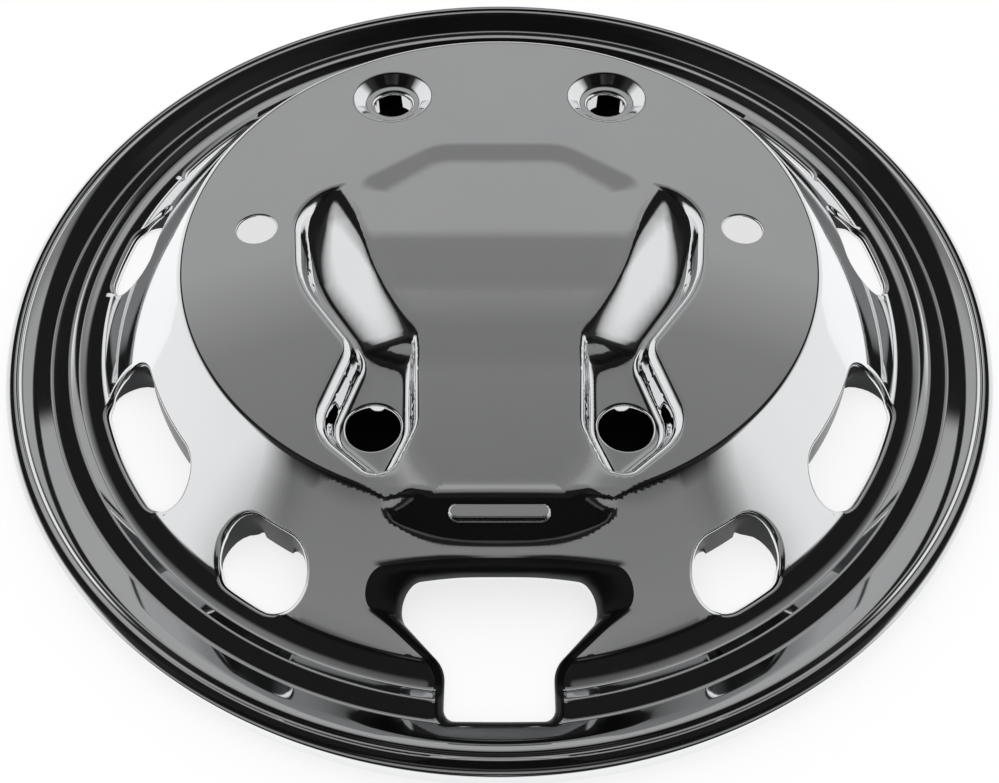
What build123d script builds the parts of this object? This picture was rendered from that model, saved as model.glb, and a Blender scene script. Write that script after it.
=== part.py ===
"""Pressed wheel simulator for a six-stud light truck wheel, one sheet of bright stainless steel.

The cover lies face up: +Z points out of the wheel, z = 0 is the edge of the rolled rim that the cover rests on,
and the keyhole opening is at -Y. The sheet is what lies between two skins, the face and the same form moved in
by the sheet's thickness, so each wall, press and collar keeps that thickness.
"""

import os
from math import cos, hypot, radians, sin, tan

from build123d import *

# Sheet, and a corner of it that is folded sharp
sheet = 1.0
sharp = 0.0

# Rim, from the outer edge inwards
rim_radius = 230.0
lip_height = 12.0
lip_width = 5.2
lip_roll = 3.5
vee_run = 1.4
vee_depth = 1.05
ridge_run = 1.7
ridge_rise = 0.95
slope_run = 10.7
ledge_height = 6.7
ledge_width = 7.5
gutter_slope_run = 4.0
gutter_height = 3.2
gutter_width = 10.6
gutter_bend = 4.0

# Raised face
plate_radius = 144.0
plate_height = 43.0
plate_bend = 4.0

# Stud holes
stud_circle = 222.25
side_hole_radius = 9.0
collar_radius = 9.5
collar_depth = 9.0
collar_seat_radius = 14.0
collar_seat_depth = 4.5
collar_mouth_radius = 20.0
collar_bend = 2.0
collar_angle = 30.0

# Central panel, which steps down towards the keyhole
panel_step = 1.5
panel_head_y = 60.0
panel_head_half = 36.0
panel_shoulder_y = 20.0
panel_shoulder_half = 63.0
panel_hip_y = -40.0
panel_hip_half = 50.0
panel_head_ramp = 14.0
panel_second_y = -3.0
panel_second_ramp = 29.0
panel_third_y = -55.0
panel_third_ramp = 16.0
panel_waist_y = -67.0
panel_waist_half = 38.0
panel_end_y = -134.0
panel_end_half = 41.0

# Front facet below the panel, with its bead
facet_angle = 17.0
facet_half = 48.0
facet_flare = 13.0
bead_length = 38.0
bead_width = 6.0
bead_rise = 1.2
bead_drop = 9.0

# Z-shaped groove on the left, mirrored on the right
groove_depth = 16.0
groove_draft = 15.0
groove_slope = 33.0
groove_slope_top = (-54.7, 0.0)
groove_slope_foot = (-43.0, -28.0)
groove_outline = (
    (-95.0, 27.0),
    (-86.5, -31.0),
    (-60.5, -67.0),
    (-72.0, -108.0),
    (-43.0, -133.0),
    (-32.5, -104.0),
    (-34.5, -67.0),
    (-39.0, -28.0),
    (-53.0, 27.0),
)
groove_bends = (19.0, 14.0, 12.0, 12.0, 6.0, 20.0, 20.0, 20.0, 16.0)
groove_floor_bend = 3.0
groove_mouth_bend = 4.0
groove_hole = (-51.5, -99.0)
groove_hole_radius = 11.0

# Hand holes round the wall: end angles of each, from -Y, on both sides
hand_circle_radius = 179.0
hand_width = 21.0
hand_spans = ((29.0, 34.0), (51.0, 66.0), (91.0, 100.0), (117.0, 131.0), (147.5, 152.5))
hand_draft = 8.0
hand_flange = 6.0
hand_edge_height = 1.5

# Keyhole, half outline from its top to its foot
keyhole_half_outline = ((29.0, -168.5), (36.0, -176.5), (18.8, -190.0), (18.8, -206.0))
keyhole_bends = (5.0, 5.0, 12.0, 2.0)
keyhole_draft = 20.0

# Cutters run this far past the sheet
overrun = 20.0


def face_section() -> tuple[list[tuple[float, float]], list[float]]:
    """Corners of the face's half section, from the rim's edge to the axis, and the bend at each corner between."""
    steps = (
        (lip_width, lip_height),
        (vee_run, lip_height - vee_depth),
        (ridge_run, lip_height - vee_depth + ridge_rise),
        (slope_run, ledge_height),
        (ledge_width, ledge_height),
        (gutter_slope_run, gutter_height),
        (gutter_width, gutter_height),
    )
    radius = rim_radius
    points = [(radius, 0.0), (radius, lip_height)]
    for run, height in steps:
        radius -= run
        points.append((radius, height))
    points += [(plate_radius, plate_height), (0.0, plate_height)]
    bends = [lip_roll, *[sharp] * (len(steps) - 2), gutter_bend, gutter_bend, plate_bend]
    return points, bends


def turned_body(inset: float) -> Part:
    """Turned solid below the face, moved in by inset."""
    points, bends = face_section()
    closing = [(0.0, plate_height - inset), (0.0, -inset), (rim_radius - inset, -inset)]
    if inset:
        closing.append((rim_radius - inset, 0.0))
    with BuildPart() as body:
        with BuildSketch(Plane.YZ):
            with BuildLine():
                face = FilletPolyline(*points, radius=bends, mode=Mode.PRIVATE if inset else Mode.ADD)
                if inset:
                    offset(face, amount=inset, side=Side.LEFT, closed=False, mode=Mode.ADD)
                Polyline(*closing)
            make_face()
        revolve(axis=Axis.Z)
    return body.part


def groove_space(inset: float) -> Part:
    """Space above the left groove: a drafted pocket, less the broad slope along its inner side."""
    run = (groove_slope_foot[0] - groove_slope_top[0], groove_slope_foot[1] - groove_slope_top[1])
    along = (run[0] / hypot(*run), run[1] / hypot(*run))
    tilt = radians(groove_slope)
    draft = radians(groove_draft)
    normal = Vector(along[1] * sin(tilt), -along[0] * sin(tilt), cos(tilt))
    start = Vector(*groove_slope_top, plate_height) - normal * inset
    slope = Plane(origin=start, x_dir=(*along, 0), z_dir=normal)
    level = plate_height - inset
    with BuildPart() as space:
        for drop in (inset, groove_depth + inset):
            with BuildSketch(Plane.XY.offset(plate_height - drop)):
                with BuildLine():
                    FilletPolyline(*groove_outline, radius=groove_bends, close=True)
                make_face()
                offset(amount=inset / cos(draft) - drop * tan(draft))
        loft(ruled=True)
        fillet(space.faces().sort_by(Axis.Z)[0].edges(), groove_floor_bend + inset)
        with BuildSketch(slope):
            Rectangle(2 * rim_radius, 2 * rim_radius)
        extrude(amount=-rim_radius, mode=Mode.SUBTRACT)
        with BuildSketch(Plane.XY.offset(level)):
            Rectangle(plate_radius, 2 * plate_radius, align=(Align.MAX, Align.CENTER))
        extrude(amount=overrun)
        plate = space.faces().filter_by_position(Axis.Z, level, level)[0]
        fillet(plate.inner_wires()[0].edges(), groove_mouth_bend - inset)
    return space.part


def head_space(inset: float) -> Part:
    """Space above the ramped head of the central panel."""
    with BuildPart() as space:
        for lift, spread in ((panel_step, panel_head_ramp), (-panel_step, -panel_head_ramp)):
            half = (
                (panel_hip_half, panel_hip_y),
                (panel_shoulder_half + spread, panel_shoulder_y),
                (panel_head_half + spread, panel_head_y + spread),
            )
            with BuildSketch(Plane.XY.offset(plate_height + lift - inset)):
                Polygon(*half, *((-x, y) for x, y in reversed(half)), align=None)
        loft(ruled=True)
    return space.part


def panel_space(inset: float) -> Part:
    """Space above the lower steps of the central panel and the front facet."""
    first = plate_height - panel_step - inset
    second = first - panel_step
    third = second - panel_step
    reach = rim_radius - hand_circle_radius
    top = plate_height + overrun
    floor = (
        (panel_second_y, first),
        (panel_second_y - panel_second_ramp, second),
        (panel_third_y, second),
        (panel_third_y - panel_third_ramp, third),
        (panel_end_y, third),
        (panel_end_y - reach, third - reach * tan(radians(facet_angle))),
        (panel_end_y - reach, top),
        (panel_second_y, top),
    )
    half = (
        (panel_shoulder_half, panel_second_y),
        (panel_hip_half, panel_hip_y),
        (panel_waist_half, panel_waist_y),
        (panel_end_half, panel_end_y),
        (facet_half, panel_end_y - facet_flare),
        (facet_half, panel_end_y - reach),
    )
    with BuildPart() as space:
        with BuildSketch(Plane.YZ):
            Polygon(*floor, align=None)
        extrude(amount=panel_shoulder_half + overrun, both=True)
        with BuildSketch():
            Polygon(*half, *((-x, y) for x, y in reversed(half)), align=None)
            if inset:
                offset(amount=inset)
        extrude(amount=top, mode=Mode.INTERSECT)
    return space.part


def collar_space(inset: float) -> Part:
    """Space inside one dished stud collar, about the Z axis."""
    seat = plate_height - collar_seat_depth
    foot = seat - collar_depth
    rise = collar_mouth_radius + 2 * collar_bend
    points = (
        (rise, plate_height),
        (collar_mouth_radius, plate_height),
        (collar_seat_radius, seat),
        (collar_radius, seat),
        (collar_radius, foot if inset else foot - sheet),
    )
    bends = [sharp, sharp, collar_bend]
    end = points[-1][1]
    top = plate_height + overrun
    with BuildPart() as space:
        with BuildSketch(Plane.XZ):
            with BuildLine():
                face = FilletPolyline(*points, radius=bends, mode=Mode.PRIVATE if inset else Mode.ADD)
                if inset:
                    offset(face, amount=inset, side=Side.LEFT, closed=False, mode=Mode.ADD)
                Polyline((collar_radius + inset, end), (0, end), (0, top), (rise, top), (rise, plate_height - inset))
            make_face()
        revolve(axis=Axis.Z)
    return space.part


def hand_space(inset: float) -> Part:
    """Space inside the flanged hand holes and the keyhole, narrowing inwards."""
    draft = radians(hand_draft)
    key_draft = radians(keyhole_draft)
    keyhole = keyhole_half_outline + tuple((-x, y) for x, y in reversed(keyhole_half_outline))
    bends = keyhole_bends + keyhole_bends[::-1]
    levels = (-hand_edge_height, plate_height)
    with BuildPart() as space:
        for side in (-1, 1):
            for start, end in hand_spans:
                for level in levels:
                    with BuildSketch(Plane.XY.offset(level)):
                        arc = CenterArc((0, 0), hand_circle_radius, side * start - 90, side * (end - start))
                        SlotArc(arc, hand_width + 2 * (level * tan(draft) + inset / cos(draft)))
                loft(ruled=True)
        for level in levels:
            with BuildSketch(Plane.XY.offset(level)):
                with BuildLine():
                    FilletPolyline(*keyhole, radius=bends, close=True)
                make_face()
                offset(amount=level * tan(key_draft) + inset / cos(key_draft))
        loft(ruled=True)
        if inset:
            foot_radius, foot_height = face_section()[0][-3]
            flare = (foot_radius - plate_radius) / (plate_height - foot_height)
            end_height = plate_height - hand_flange
            with BuildSketch(Plane.YZ):
                Polygon(
                    (0, -overrun),
                    (rim_radius, -overrun),
                    (rim_radius, hand_edge_height),
                    (plate_radius + (end_height - hand_edge_height) * flare, hand_edge_height),
                    (plate_radius, end_height),
                    (0, end_height),
                    align=None,
                )
            revolve(axis=Axis.Z, mode=Mode.SUBTRACT)
    return space.part


def skin(inset: float) -> Part:
    """Solid below the pressed face, moved in by inset."""
    body = turned_body(inset)
    groove = groove_space(inset)
    head = head_space(inset)
    panel = panel_space(inset)
    collar = collar_space(inset)
    hands = hand_space(inset)
    tilt = radians(facet_angle)
    facet_height = plate_height - 3 * panel_step - inset
    facet = Plane(origin=(0, panel_end_y, facet_height), x_dir=(1, 0, 0), z_dir=(0, -sin(tilt), cos(tilt)))
    with BuildPart() as form:
        add(body)
        add(hands, mode=Mode.SUBTRACT)
        add(groove, mode=Mode.SUBTRACT)
        add(mirror(groove, about=Plane.YZ, mode=Mode.PRIVATE), mode=Mode.SUBTRACT)
        add(head, mode=Mode.SUBTRACT)
        add(panel, mode=Mode.SUBTRACT)
        with PolarLocations(stud_circle / 2, 2, start_angle=90 - collar_angle, angular_range=4 * collar_angle):
            add(collar, mode=Mode.SUBTRACT)
        with BuildSketch(facet):
            with Locations((0, -bead_drop)):
                SlotOverall(bead_length - 2 * inset, bead_width - 2 * inset)
        extrude(amount=bead_rise)
    return form.part


face = skin(0.0)
back = skin(sheet)
stud_radius = stud_circle / 2
with BuildPart() as wheel_simulator:
    add(face)
    add(back, mode=Mode.SUBTRACT)
    with Locations((-stud_radius, 0, plate_height), (stud_radius, 0, plate_height)):
        Hole(side_hole_radius, depth=overrun)
    with Locations((*groove_hole, plate_height), (-groove_hole[0], groove_hole[1], plate_height)):
        Hole(groove_hole_radius, depth=groove_depth + overrun)
wheel_simulator.part.label = "wheel_simulator"

os.makedirs("parts", exist_ok=True)
export_step(wheel_simulator.part, "parts/wheel_simulator.step")
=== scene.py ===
"""Looks of a pressed truck wheel simulator: its bright sheet, the studio round it and the camera.

The cover lies face up on the edge of its rolled rim, with the keyhole towards the camera. Sizes of the
pressing are in millimetres, as a toolmaker gives them, and meshes are made in metres in the frame of the
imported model.
"""

import logging
from collections.abc import Sequence
from dataclasses import dataclass, field
from enum import Enum
from functools import lru_cache
from math import atan2, ceil, cos, degrees, hypot, radians, sin, tan

import bpy
import numpy as np
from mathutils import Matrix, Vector
from mathutils.geometry import delaunay_2d_cdt


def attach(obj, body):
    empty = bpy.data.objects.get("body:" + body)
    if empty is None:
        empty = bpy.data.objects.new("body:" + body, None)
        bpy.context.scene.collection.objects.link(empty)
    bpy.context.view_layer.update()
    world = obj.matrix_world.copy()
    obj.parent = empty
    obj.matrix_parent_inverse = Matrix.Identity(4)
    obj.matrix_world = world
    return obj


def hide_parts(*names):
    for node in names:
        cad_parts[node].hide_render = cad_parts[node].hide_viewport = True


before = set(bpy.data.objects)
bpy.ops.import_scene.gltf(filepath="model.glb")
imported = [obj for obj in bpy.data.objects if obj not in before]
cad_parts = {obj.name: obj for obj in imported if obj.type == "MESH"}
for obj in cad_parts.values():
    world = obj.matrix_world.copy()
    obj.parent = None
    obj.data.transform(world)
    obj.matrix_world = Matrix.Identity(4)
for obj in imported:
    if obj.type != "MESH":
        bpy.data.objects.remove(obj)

log = logging.getLogger("wheel_simulator")

MM = 0.001
NODE = "wheel_simulator"
BODY = "root"
PHOTO_WIDTH = 999
SENSOR_WIDTH = 36.0

Point = tuple[float, float]
Outline = tuple[tuple[Point, ...], tuple[float, ...]]
Link = tuple[int, int]
Colour = tuple[float, float, float, float]


class Half(Enum):
    """Side of the cover that a mirrored press lies on."""

    LEFT = -1
    RIGHT = 1


class Side(Enum):
    """Side of the sheet, and its place in the list of finishes."""

    FACE = 0
    BACK = 1
    # Slot of the black finish: a painted dark reflection on turned edges.
    FLANGE = 2


def grey(level: float) -> Colour:
    """Give the colour of a neutral grey."""
    return (level, level, level, 1.0)


def unit_rows(vectors: np.ndarray) -> np.ndarray:
    """Scale every row to a length of one."""
    return vectors / np.linalg.norm(vectors, axis=1)[:, None]


def grid_points(across: np.ndarray, along: np.ndarray) -> np.ndarray:
    """Give the points of a grid in plan, one in each row."""
    return np.column_stack([axis.ravel() for axis in np.meshgrid(across, along)])


def run_along(path: np.ndarray) -> np.ndarray:
    """Give the length of a path up to each of its points."""
    return np.concatenate(([0.0], np.cumsum(np.linalg.norm(np.diff(path, axis=0), axis=1))))


def points_at(path: np.ndarray, run: np.ndarray, places: np.ndarray) -> np.ndarray:
    """Give the points of a path at places along its run."""
    return np.column_stack([np.interp(places, run, path[:, axis]) for axis in (0, 1)])


def close_to(points: np.ndarray, loop: np.ndarray, gap: float) -> np.ndarray:
    """Tell which points lie in the box round a loop, widened by a gap."""
    return np.all((points > loop.min(0) - gap) & (points < loop.max(0) + gap), axis=1)


def rounded_path(
    corners: Sequence[Point], bends: Sequence[float], closed: bool, turn_step: float
) -> np.ndarray:
    """Round the corners of a path with arcs.

    Args:
        corners: Corners of the path, in order.
        bends: Radius at each corner, without the two ends of an open path.
        closed: Whether the last corner runs back to the first.
        turn_step: Turn between two points of an arc, in degrees.

    Returns:
        Points along the rounded path, one in each row.
    """
    points = np.asarray(corners, float)
    count = len(points)
    path = [] if closed else [points[0]]
    for bend, index in zip(bends, range(count) if closed else range(1, count - 1)):
        here = points[index]
        arrive = here - points[index - 1]
        arrive /= np.linalg.norm(arrive)
        leave = points[(index + 1) % count] - here
        leave /= np.linalg.norm(leave)
        turn = atan2(arrive[0] * leave[1] - arrive[1] * leave[0], arrive @ leave)
        start = here - arrive * bend * tan(abs(turn) / 2)
        spoke = np.array([arrive[1], -arrive[0]]) * bend * np.sign(turn)
        centre = start - spoke
        for part in np.linspace(0.0, turn, max(2, ceil(degrees(abs(turn)) / turn_step) + 1)):
            across = np.array([-spoke[1], spoke[0]])
            path.append(centre + spoke * cos(part) + across * sin(part))
    if not closed:
        path.append(points[-1])
    return np.array(path)


def signed_distance(points: np.ndarray, outline: np.ndarray) -> np.ndarray:
    """Measure how far points lie inside a closed outline.

    Args:
        points: Points in plan, one in each row.
        outline: Corners of the outline, one in each row.

    Returns:
        Distance of each point to the outline, positive inside it.
    """
    x, y = points[:, 0], points[:, 1]
    nearest = np.full(len(points), np.inf)
    inside = np.zeros(len(points), bool)
    for (start_x, start_y), (end_x, end_y) in zip(outline, np.roll(outline, -1, axis=0)):
        run_x, run_y = end_x - start_x, end_y - start_y
        if not hypot(run_x, run_y):
            continue
        from_x, from_y = x - start_x, y - start_y
        along = np.clip((from_x * run_x + from_y * run_y) / (run_x**2 + run_y**2), 0.0, 1.0)
        nearest = np.minimum(nearest, (from_x - along * run_x) ** 2 + (from_y - along * run_y) ** 2)
        if run_y:
            inside ^= ((start_y > y) != (end_y > y)) & (from_x < run_x * from_y / run_y)
    return np.where(inside, 1.0, -1.0) * np.sqrt(nearest)


def lower_of(first: np.ndarray, second: np.ndarray, blend: float) -> np.ndarray:
    """Take the lower of two heights, with a soft change over a height of blend."""
    nearness = np.clip(blend - np.abs(first - second), 0.0, None)
    return np.minimum(first, second) - nearness**2 / (4.0 * blend)


@lru_cache(maxsize=None)
def bent_path(corners: tuple[Point, ...], bends: tuple[float, ...], turn_step: float) -> np.ndarray:
    """Round the corners of an open section, once for each section."""
    return rounded_path(corners, bends, False, turn_step)


@dataclass(frozen=True)
class Section:
    """Bent section of a press: its height along a distance that only grows."""

    corners: tuple[Point, ...]
    bends: tuple[float, ...]
    turn_step: float = 0.25

    def path(self) -> np.ndarray:
        """Give the rounded section's points."""
        return bent_path(self.corners, self.bends, self.turn_step)

    def height(self, distance: np.ndarray) -> np.ndarray:
        """Give the height at each distance."""
        path = self.path()
        return np.interp(distance, path[:, 0], path[:, 1])


def step_section(reach: float, start: float, end: float, rise: float, bends: Point) -> Section:
    """Give the section of a step from level zero up to another level.

    Args:
        reach: How far the section runs both ways.
        start: Distance where the step starts.
        end: Distance where it has risen.
        rise: Height of the step.
        bends: Bend radii at its start and its end.

    Returns:
        The section.
    """
    return Section(((-reach, 0.0), (start, 0.0), (end, rise), (reach, rise)), bends)


@dataclass(frozen=True)
class Rim:
    """Turned form of the cover: raised face, wall, gutter, ledge, sloped rim and rolled lip."""

    radius: float = 230.0
    lip_height: float = 12.0
    lip_width: float = 5.2
    lip_roll: float = 3.5
    vee_run: float = 1.4
    vee_depth: float = 1.05
    ridge_run: float = 1.7
    ridge_rise: float = 0.95
    ridge_bend: float = 1.6
    slope_run: float = 10.7
    slope_bend: float = 3.0
    ledge_height: float = 5.2
    ledge_rise: float = 0.5
    ledge_width: float = 7.5
    ledge_bend: float = 2.0
    gutter_slope_run: float = 4.0
    gutter_height: float = 2.8
    gutter_width: float = 10.6
    gutter_bend: float = 4.0
    crease: float = 1.1
    plate_radius: float = 144.0
    plate_height: float = 43.0
    plate_bend: float = 4.0

    def section(self) -> Section:
        """Give the section from the axis out to the lip.

        Returns:
            The section, by distance from the axis.
        """
        vee_height = self.lip_height - self.vee_depth
        steps = (
            (self.lip_width, self.lip_height, self.crease),
            (self.vee_run, vee_height, self.crease),
            (self.ridge_run, vee_height + self.ridge_rise, self.ridge_bend),
            (self.slope_run, self.ledge_height, self.slope_bend),
            (self.ledge_width, self.ledge_height + self.ledge_rise, self.ledge_bend),
            (self.gutter_slope_run, self.gutter_height, self.gutter_bend),
            (self.gutter_width, self.gutter_height, self.gutter_bend),
        )
        radius = self.radius
        corners = [(radius, self.lip_height)]
        for run, height, _ in steps:
            radius -= run
            corners.append((radius, height))
        corners += [(self.plate_radius, self.plate_height), (0.0, self.plate_height)]
        bends = [bend for _, _, bend in steps] + [self.plate_bend]
        return Section(tuple(reversed(corners)), tuple(reversed(bends)))

    def ring_radii(self, turn: float, gap: float) -> list[float]:
        """Choose the radii of the mesh's rings.

        Args:
            turn: Largest turn of the section between two rings, in degrees.
            gap: Largest distance between two rings.

        Returns:
            Radii from the raised face's edge to the lip.
        """
        path = self.section().path()
        run = np.diff(path, axis=0)
        slope = np.degrees(np.arctan2(run[:, 1], run[:, 0]))
        radii: list[float] = []
        spent = 0.0
        for index in range(1, len(run)):
            radius = path[index, 0]
            spent += abs(slope[index] - slope[index - 1])
            if radius < self.plate_radius - 2 * self.plate_bend or radius > self.radius - self.lip_roll:
                continue
            if not radii or spent >= turn:
                radii.append(radius)
                spent = 0.0
        filled = radii[:1]
        for radius in radii[1:] + [self.radius - self.lip_roll]:
            pieces = max(1, ceil((radius - filled[-1]) / gap))
            filled += list(np.linspace(filled[-1], radius, pieces + 1)[1:])
        return filled[:-1]


@dataclass(frozen=True)
class Groove:
    """Z-shaped groove beside the central panel, with a broad slope along its inner side."""

    depth: float = 17.5
    draft: float = 12.0
    slope: float = 28.5
    slope_top: Point = (-67.0, 4.0)
    slope_foot: Point = (-36.0, -49.0)
    tail_y: float = -60.0
    tail_fall: float = 1.8
    tail_bend: float = 6.0
    end_y: float = 24.0
    end_slope: float = 20.0
    outline: tuple[Point, ...] = (
        (-95.0, 27.0),
        (-86.5, -31.0),
        (-60.5, -67.0),
        (-72.0, -108.0),
        (-43.0, -133.0),
        (-32.5, -104.0),
        (-34.5, -67.0),
        (-39.0, -28.0),
        (-53.0, 27.0),
    )
    bends: tuple[float, ...] = (24.0, 55.0, 14.0, 18.0, 8.0, 20.0, 20.0, 20.0, 16.0)
    mouth_bend: float = 6.0
    floor_bend: float = 8.0
    slope_bends: Point = (6.0, 42.0)
    slope_span: Point = (-50.0, 10.0)
    end_bend: float = 110.0
    reach: float = 200.0
    blend_power: float = 6.0
    turn_step: float = 4.0

    def loop(self) -> np.ndarray:
        """Give the rounded outline of the left groove."""
        return rounded_path(self.outline, self.bends, True, self.turn_step)

    def dip(self, points: np.ndarray) -> np.ndarray:
        """Give how far the groove lies below the sheet round it.

        Args:
            points: Points in plan, folded to the left half.

        Returns:
            Depth at each point, zero outside the groove.
        """
        outline = self.loop()
        near = close_to(points, outline, self.mouth_bend)
        inner = points[near]
        along = np.subtract(self.slope_foot, self.slope_top)
        along /= np.linalg.norm(along)
        outwards = np.array([along[1], -along[0]])
        tail_end = (self.reach, (self.reach + self.tail_y) * self.tail_fall)
        tail = Section(((-self.reach, 0.0), (-self.tail_y, 0.0), tail_end), (self.tail_bend,))
        # The slope's turn has a bend of one, and is scaled by the bend that each point needs
        bend = np.interp(inner[:, 1], self.slope_span, self.slope_bends)
        fall = tan(radians(self.slope))
        turn = Section(((-self.reach, 0.0), (0.0, 0.0), (self.reach, self.reach * fall)), (1.0,))
        past = (inner - self.slope_top) @ outwards + tail.height(-inner[:, 1])
        sides = (
            self._side(90.0 - self.draft, self.mouth_bend).height(signed_distance(inner, outline)),
            bend * turn.height(past / bend),
            self._side(self.end_slope, self.end_bend).height(self.end_y - inner[:, 1]),
            np.full(len(inner), self.depth),
        )
        closed = np.min(sides, axis=0) > 0
        shares = [np.divide(self.depth, side, out=np.ones_like(side), where=closed) for side in sides]
        blend = np.sum([share**self.blend_power for share in shares], axis=0) ** (1.0 / self.blend_power)
        depth = np.zeros(len(points))
        depth[near] = np.where(closed, self.depth / blend, 0.0)
        return depth

    def _side(self, tilt: float, bend: float) -> Section:
        """Give the section of a side that falls to the floor at a tilt.

        Args:
            tilt: Angle of the side to the level, in degrees.
            bend: Radius of its upper bend.

        Returns:
            The depth of the side, by distance from its upper edge.
        """
        run = self.depth / tan(radians(tilt))
        return step_section(self.reach, 0.0, run, self.depth, (bend, self.floor_bend))


@dataclass(frozen=True)
class Panel:
    """Central panel that steps down towards the keyhole, with the front facet and its bead."""

    step: float = 1.4
    half_outline: tuple[Point, ...] = (
        (33.0, 61.0),
        (70.0, 32.0),
        (66.0, -20.0),
        (57.0, -50.0),
        (52.0, -70.0),
        (50.0, -134.0),
        (50.0, -160.0),
    )
    half_bends: tuple[float, ...] = (30.0, 16.0, 40.0, 40.0, 40.0, 40.0, 1.0)
    turn_step: float = 4.0
    ramp: float = 14.0
    ramp_bend: float = 120.0
    wide_ramp: float = 28.0
    wide_span: Point = (-134.0, -110.0)
    lower_ramps: tuple[Point, ...] = ((-3.0, 29.0), (-50.0, 24.0))
    lower_bend: float = 150.0
    end_y: float = -136.5
    reach: float = 250.0
    facet_angle: float = 17.0
    facet_halves: tuple[Point, ...] = ((-250.0, 33.0), (0.0, 33.0), (7.0, 43.0), (17.5, 29.0), (250.0, 29.0))
    facet_bends: tuple[float, ...] = (3.0, 3.0, 3.0)
    facet_side: float = 0.7
    facet_soft: float = 3.0
    facet_blend: float = 1.2
    facet_reach: float = 66.0
    facet_before: float = 5.0
    apron_start: float = 17.3
    apron_angle: float = 41.8
    apron_foot: float = 17.0
    bead_length: float = 38.0
    bead_width: float = 6.4
    bead_lean: float = 22.0
    bead_side: float = 68.0
    bead_blend: float = 0.35
    bead_drop: float = 6.4

    def loop(self) -> np.ndarray:
        """Give the panel's outline, clockwise in plan."""
        corners = self.half_outline + tuple((-x, y) for x, y in reversed(self.half_outline))
        return rounded_path(corners, self.half_bends + self.half_bends[::-1], True, self.turn_step)

    def drop(self, points: np.ndarray) -> np.ndarray:
        """Give how far the stepped panel lies below the raised face.

        Args:
            points: Points in plan.

        Returns:
            Depth at each point, zero outside the panel.
        """
        outline = self.loop()
        edge = step_section(self.reach, 0.0, self.ramp, 1.0, (self.ramp_bend, self.ramp_bend))
        narrow = np.interp(points[:, 1], self.wide_span, (self.ramp / self.wide_ramp, 1.0))
        share = edge.height(signed_distance(points, outline) * narrow)
        depth = np.full(len(points), self.step)
        for start, run in self.lower_ramps:
            bends = (self.lower_bend, self.lower_bend)
            depth += step_section(self.reach, -start, run - start, self.step, bends).height(-points[:, 1])
        return depth * share

    def facet(self, points: np.ndarray, level: float) -> np.ndarray:
        """Give the height of the front facet, which rises past its sides, and the straight wall below it.

        Args:
            points: Points in plan.
            level: Height of the raised face.

        Returns:
            Height at each point.
        """
        slope = tan(radians(self.facet_angle))
        ahead = self.end_y - points[:, 1]
        half = Section(self.facet_halves, self.facet_bends).height(ahead)
        past = np.abs(points[:, 0]) - half
        beyond = (past + np.hypot(past, self.facet_soft)) / 2
        top = level - (1 + len(self.lower_ramps)) * self.step
        facet = top - ahead * slope + beyond * self.facet_side
        fall = (ahead - self.apron_start) * tan(radians(self.apron_angle))
        apron = np.clip(top - self.apron_start * slope - fall, self.apron_foot, None)
        return lower_of(facet, apron, self.facet_blend)

    def bead_middle(self) -> float:
        """Give the y of the bead's middle line."""
        return self.end_y - self.bead_drop * cos(radians(self.facet_angle))

    def bead_grid(self, gap: float) -> np.ndarray:
        """Give a grid of points over the bead.

        Args:
            gap: Distance between points.

        Returns:
            Points in plan.
        """
        along = np.arange(-self.bead_length / 2 - gap, self.bead_length / 2 + 2 * gap, gap)
        across = np.arange(-self.bead_width / 2 - gap, self.bead_width / 2 + 2 * gap, gap)
        return grid_points(along, across + self.bead_middle())

    def facet_grid(self, gap: float) -> np.ndarray:
        """Give a grid of points over the facet and its sides.

        Args:
            gap: Distance between points.

        Returns:
            Points in plan.
        """
        across = np.arange(-self.facet_reach, self.facet_reach + gap, gap)
        ahead = np.arange(-self.facet_before, self.apron_start + self.facet_before, gap)
        return grid_points(across, self.end_y - ahead)

    def bead(self, points: np.ndarray) -> np.ndarray:
        """Give the rise of the bead on the facet, whose top leans back against the facet's fall.

        Args:
            points: Points in plan.

        Returns:
            Rise at each point, zero outside the bead.
        """
        half_run = (self.bead_length - self.bead_width) / 2
        past = np.clip(np.abs(points[:, 0]) - half_run, 0.0, None)
        ahead = self.bead_middle() - points[:, 1]
        inside = np.clip(self.bead_width / 2 - np.hypot(past, ahead), 0.0, None)
        top = (ahead + self.bead_width / 2) * tan(radians(self.bead_lean))
        return np.clip(lower_of(inside * tan(radians(self.bead_side)), top, self.bead_blend), 0.0, None)


@dataclass(frozen=True)
class StudDish:
    """Dish round a stud collar."""

    stud_circle: float = 222.25
    angle: float = 30.0
    mouth_radius: float = 20.0
    seat_radius: float = 14.0
    seat_depth: float = 4.5
    bend: float = 2.5
    reach: float = 60.0

    def centre(self) -> np.ndarray:
        """Give the left dish's place."""
        return self.stud_circle / 2 * np.array([-sin(radians(self.angle)), cos(radians(self.angle))])

    def dip(self, points: np.ndarray) -> np.ndarray:
        """Give the dish's depth at points folded to the left half.

        Args:
            points: Points in plan, folded to the left half.

        Returns:
            Depth at each point, zero outside the dish.
        """
        seat = ((0.0, self.seat_depth), (self.seat_radius, self.seat_depth))
        wall = Section(seat + ((self.mouth_radius, 0.0), (self.reach, 0.0)), (self.bend, self.bend))
        centre = self.centre()
        return wall.height(np.hypot(points[:, 0] - centre[0], points[:, 1] - centre[1]))


@dataclass(frozen=True)
class Opening:
    """Pierced opening whose edge is turned down into the sheet."""

    edge: np.ndarray
    bend: float
    flange: float
    draft: float = 0.0
    # Whether the flange rows are painted black as a painted dark reflection.
    painted_reflection: bool = False
    longest_roll: float = 2.6
    shortest_flange: float = 0.2
    least_fall: float = 0.1
    lowest: float = 1.5
    bend_rows: int = 7
    flange_rows: int = 2

    def painted_reflection_rows(self) -> range:
        """Give the rows painted black as a painted dark reflection."""
        return range(self.bend_rows, self.bend_rows + self.flange_rows) if self.painted_reflection else range(0)


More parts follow.
